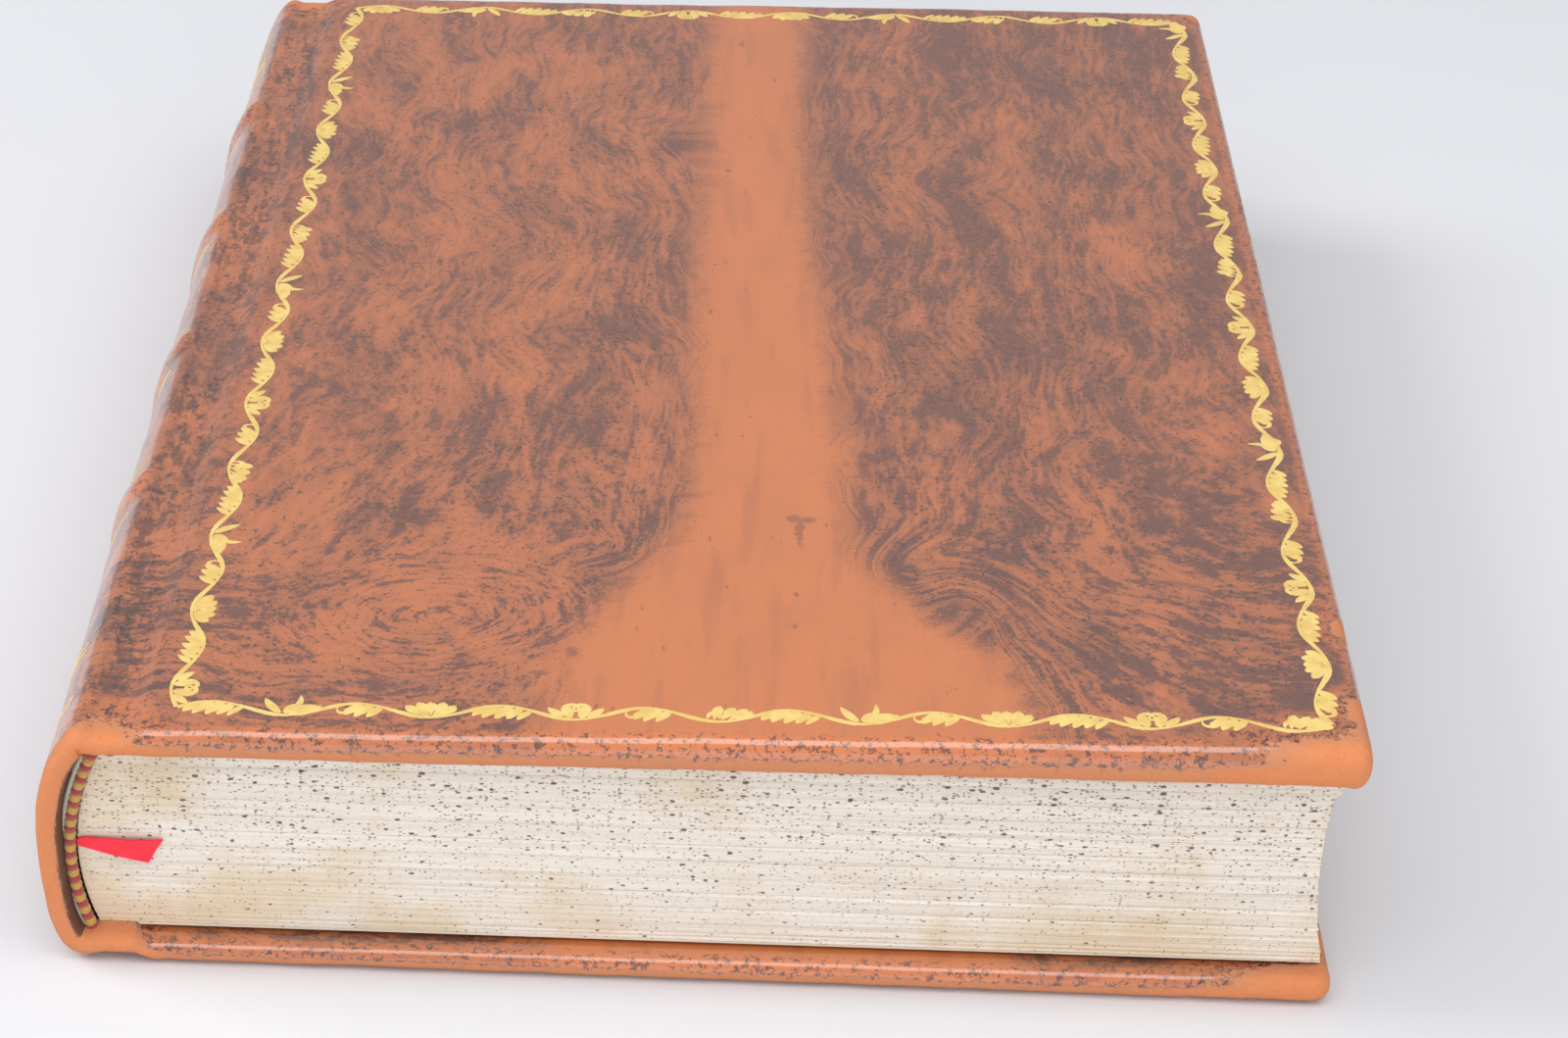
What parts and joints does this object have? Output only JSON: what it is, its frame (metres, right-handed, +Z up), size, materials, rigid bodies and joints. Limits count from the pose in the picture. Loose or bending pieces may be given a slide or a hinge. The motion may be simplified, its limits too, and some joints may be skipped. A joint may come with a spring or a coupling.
{
  "type": "antique leather-bound book",
  "caption": "Antique octavo bound in tree-marbled tan calf, with a gilt roll border, sprinkled page edges, silk endbands and a ribbon marker; both covers open.",
  "frame": {"origin": "middle of the closed book's box, on the surface that its back cover lies on", "axes": "+X from the spine to the fore-edge, +Y from the tail to the head, +Z up through the closed book from the back cover to the front cover"},
  "size_m": [0.1376, 0.185, 0.0335],
  "materials": {
    "binding_leather": "polished tree-marbled calf, worn to suede along the edges",
    "page_paper": "trimmed edges, cream, sprinkled dark brown",
    "endpaper": "plain cream laid paper",
    "infill_paper": "plain",
    "millboard": "matt grey-brown",
    "spine_card": "matt",
    "spine_linen": "open weave",
    "sewing_hemp": "twisted cord",
    "endband_cord": "matt off-white",
    "endband_silk": "silk, red and yellow beads in turn",
    "ribbon_silk": "bright red ribbon with a soft sheen"
  },
  "bodies": {
    "book_block": {"text_block": "page_paper", "front_flyleaf": "endpaper", "back_flyleaf": "endpaper", "spine_lining": "spine_linen", "spine_inlay": "spine_card", "spine_leather": "binding_leather", "ribbon_marker": "ribbon_silk", "sewing_cord_1": "sewing_hemp", "sewing_cord_2": "sewing_hemp", "sewing_cord_3": "sewing_hemp", "sewing_cord_4": "sewing_hemp", "sewing_cord_5": "sewing_hemp", "raised_band_1": "spine_card", "raised_band_2": "spine_card", "raised_band_3": "spine_card", "raised_band_4": "spine_card", "tail_endband_silk": "endband_silk", "tail_endband_core": "endband_cord", "head_endband_silk": "endband_silk", "head_endband_core": "endband_cord"},
    "front_cover": {"front_board": "millboard", "front_cover_leather": "binding_leather", "front_infill": "infill_paper", "front_pastedown": "endpaper"},
    "back_cover": {"back_board": "millboard", "back_cover_leather": "binding_leather", "back_infill": "infill_paper", "back_pastedown": "endpaper"}
  },
  "joints": [
    {"name": "front_joint", "type": "hinge", "parent": "book_block", "child": "front_cover", "pos_m": [-0.0598, 0, 0.0298], "axis": [0, -1, 0], "range_deg": [0, 180]},
    {"name": "back_joint", "type": "hinge", "parent": "book_block", "child": "back_cover", "pos_m": [-0.0598, 0, 0], "axis": [0, 1, 0], "range_deg": [0, 180]}
  ]
}
